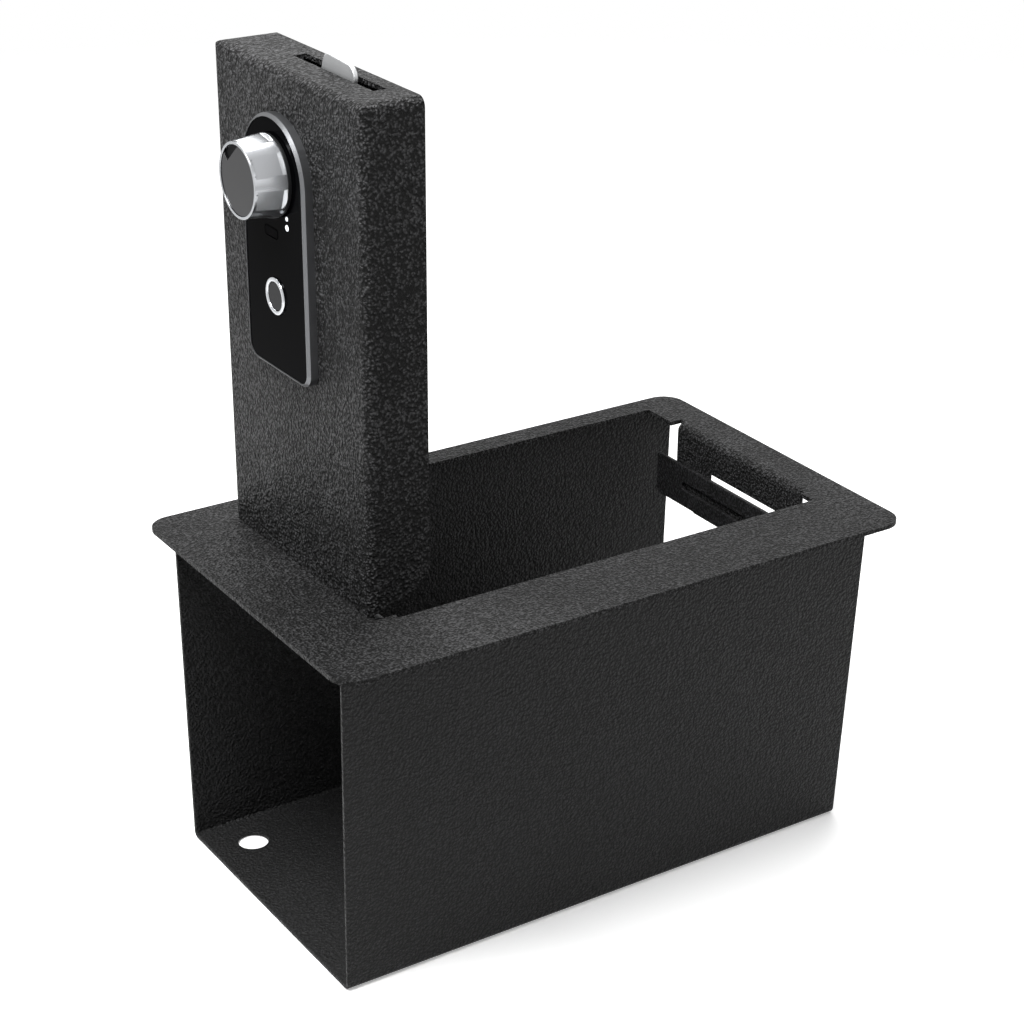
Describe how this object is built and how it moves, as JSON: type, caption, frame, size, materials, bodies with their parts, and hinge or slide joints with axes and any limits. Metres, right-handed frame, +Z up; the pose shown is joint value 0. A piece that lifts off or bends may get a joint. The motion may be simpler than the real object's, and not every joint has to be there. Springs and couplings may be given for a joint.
{
  "type": "console_safe",
  "caption": "Vehicle console safe: open-ended steel trough under a wide rim with slotted strike lip, thick hinged lid carrying a knob lock with fingerprint reader and swinging cam",
  "frame": {"origin": "on the floor's underside, at the middle of the floor and of its four fixing holes", "axes": "+X from the hinge end to the latch end, +Y to the far side, +Z up; the lid stands open"},
  "size_m": [0.2945, 0.1825, 0.3884],
  "materials": {
    "powder_coat": "textured matt powder coat on folded steel",
    "zinc_steel": "satin zinc plate",
    "bright_chrome": "polished chrome",
    "satin_metal": "satin cast metal with a bright edge",
    "gloss_panel": "high gloss",
    "black_plastic": "fine matt moulding",
    "soft_rubber": "matt",
    "lamp_lens": "clear white lens",
    "board_green": "varnished board",
    "cell_wrap": "smooth shrink wrap",
    "key_brass": "machined"
  },
  "bodies": {
    "safe_box": {"trough": "powder_coat", "rim_frame": "powder_coat", "strike_bar": "powder_coat", "rim_hinge_leaf": "powder_coat", "hinge_pin": "zinc_steel"},
    "lid": {"lid_pan": "powder_coat", "lid_hinge_leaf": "powder_coat", "lid_cover": "powder_coat", "cover_posts": "zinc_steel", "cover_screws": "zinc_steel", "lock_bezel": "satin_metal", "lock_panel": "gloss_panel", "knob_collar": "black_plastic", "sensor_ring": "bright_chrome", "sensor_pad": "gloss_panel", "status_lights": "lamp_lens", "port_cover": "soft_rubber", "power_port": "zinc_steel", "lock_housing": "black_plastic", "housing_cover": "black_plastic", "lock_screws": "zinc_steel", "circuit_board": "board_green", "clutch_motor": "zinc_steel", "battery_box": "black_plastic", "batteries": "cell_wrap", "battery_door": "black_plastic", "door_screw": "zinc_steel"},
    "lock_knob": {"knob": "bright_chrome", "knob_cap": "gloss_panel", "key_cylinder": "key_brass", "spindle": "zinc_steel", "cam": "zinc_steel", "cam_washer": "zinc_steel", "cam_nut": "zinc_steel"}
  },
  "joints": [
    {"name": "lid_hinge", "type": "hinge", "parent": "safe_box", "child": "lid", "pos_m": [-0.1032, 0.0074, 0.159], "axis": [0, 1, 0], "range_deg": [0, 90]},
    {"name": "knob_turn", "type": "hinge", "parent": "lid", "child": "lock_knob", "pos_m": [-0.1, 0.0115, 0.3399], "axis": [1, 0, 0], "range_deg": [-20, 70]}
  ]
}
